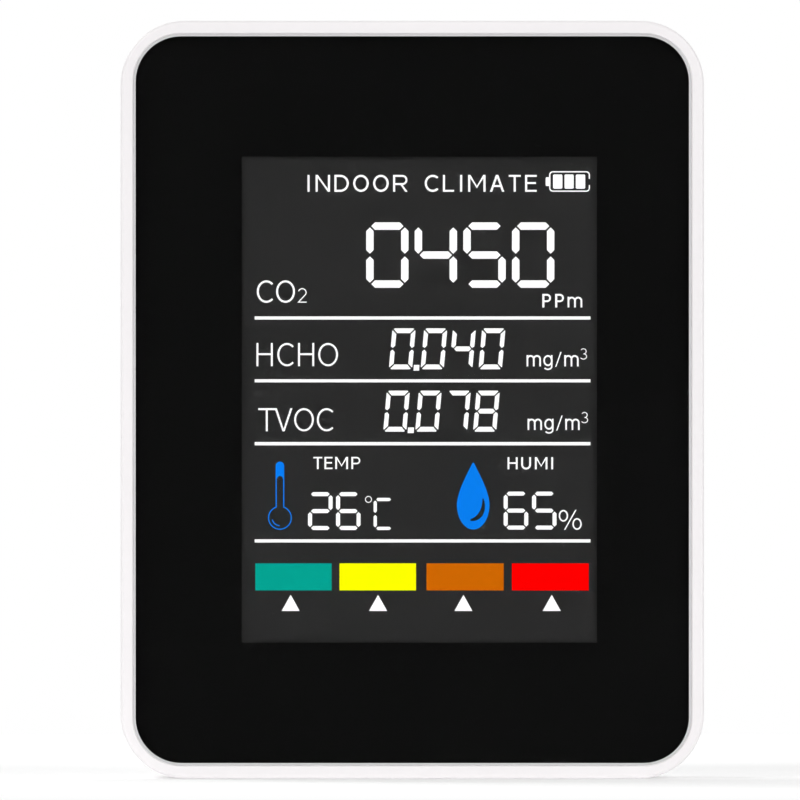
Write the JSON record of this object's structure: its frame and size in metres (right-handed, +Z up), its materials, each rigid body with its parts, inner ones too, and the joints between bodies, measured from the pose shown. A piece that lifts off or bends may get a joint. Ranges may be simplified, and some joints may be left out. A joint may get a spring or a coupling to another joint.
{
  "type": "air quality monitor",
  "caption": "Upright desktop air quality monitor with a glass-fronted segment display, side power button, wrap-round vents and a fold-out stand in its back.",
  "frame": {"origin": "under the middle of the case, on the surface that it stands on", "axes": "+Z up, the screen faces -Y, +X to the right as seen from the front"},
  "size_m": [0.0694, 0.027, 0.09],
  "materials": {
    "white_abs": "fine satin moulded texture",
    "lens_clear": "polished",
    "black_ink": "screen print under the lens",
    "foam_tape": "double-sided foam tape",
    "black_foam": "closed-cell foam",
    "polarizer_film": "smooth film",
    "display_glass": "polished",
    "white_film": "diffusing film",
    "clear_acrylic": "polished",
    "led_package": "moulded lens",
    "white_polycarbonate": "moulded",
    "flex_film": "polyimide film",
    "black_nylon": "moulded",
    "circuit_board": "solder mask over glass-fibre laminate",
    "plated_steel": "zinc plated",
    "chip_epoxy": "moulded epoxy",
    "ferrite": "pressed ferrite",
    "capacitor_ceramic": "fired ceramic",
    "pouch_foil": "heat-sealed foil pouch",
    "red_pvc": "extruded insulation",
    "black_pvc": "extruded insulation",
    "white_nylon": "moulded",
    "gold_plate": "gold-plated housing",
    "filter_membrane": "porous membrane",
    "woven_mesh": "woven dust mesh",
    "button_plastic": "satin moulded"
  },
  "bodies": {
    "case": {"front_housing": "white_abs", "rear_cover": "white_abs", "front_lens": "lens_clear", "lens_mask": "black_ink", "lens_adhesive": "foam_tape", "display_gasket": "black_foam", "front_polarizer": "polarizer_film", "lcd_glass": "display_glass", "rear_polarizer": "polarizer_film", "diffuser_sheet": "white_film", "light_guide": "clear_acrylic", "reflector_sheet": "white_film", "backlight_strip": "flex_film", "backlight_leds": "led_package", "display_holder": "white_polycarbonate", "display_flex": "flex_film", "flex_connector": "black_nylon", "main_board": "circuit_board", "board_screws": "plated_steel", "microcontroller": "chip_epoxy", "charge_controller": "chip_epoxy", "voltage_regulator": "chip_epoxy", "power_inductor": "ferrite", "clock_crystal": "plated_steel", "board_capacitors": "capacitor_ceramic", "battery_cell": "pouch_foil", "battery_tape": "foam_tape", "battery_lead_red": "red_pvc", "battery_lead_black": "black_pvc", "battery_plug": "white_nylon", "battery_socket": "white_nylon", "co2_sensor_board": "circuit_board", "co2_sensor_headers": "black_nylon", "co2_sensor_chamber": "gold_plate", "co2_sensor_filter": "filter_membrane", "formaldehyde_sensor": "black_nylon", "formaldehyde_filter": "filter_membrane", "voc_sensor": "plated_steel", "voc_sensor_screen": "woven_mesh", "temp_humidity_sensor": "white_nylon", "usb_port": "plated_steel", "usb_tongue": "black_nylon", "switch_body": "black_nylon", "stand_hinge_pin": "plated_steel", "case_screws": "plated_steel", "vent_mesh_left": "woven_mesh", "vent_mesh_right": "woven_mesh"},
    "button": {"power_button": "button_plastic", "switch_plunger": "white_nylon"},
    "stand": {"kickstand": "white_abs"}
  },
  "joints": [
    {"name": "stand_hinge", "type": "hinge", "parent": "case", "child": "stand", "pos_m": [0, 0.0121, 0.0596], "axis": [1, 0, 0], "range_deg": [0, 45]},
    {"name": "button_press", "type": "slide", "parent": "case", "child": "button", "axis": [-1, 0, 0], "range_m": [0, 0.0005], "stiffness_N_per_m": 3000}
  ]
}
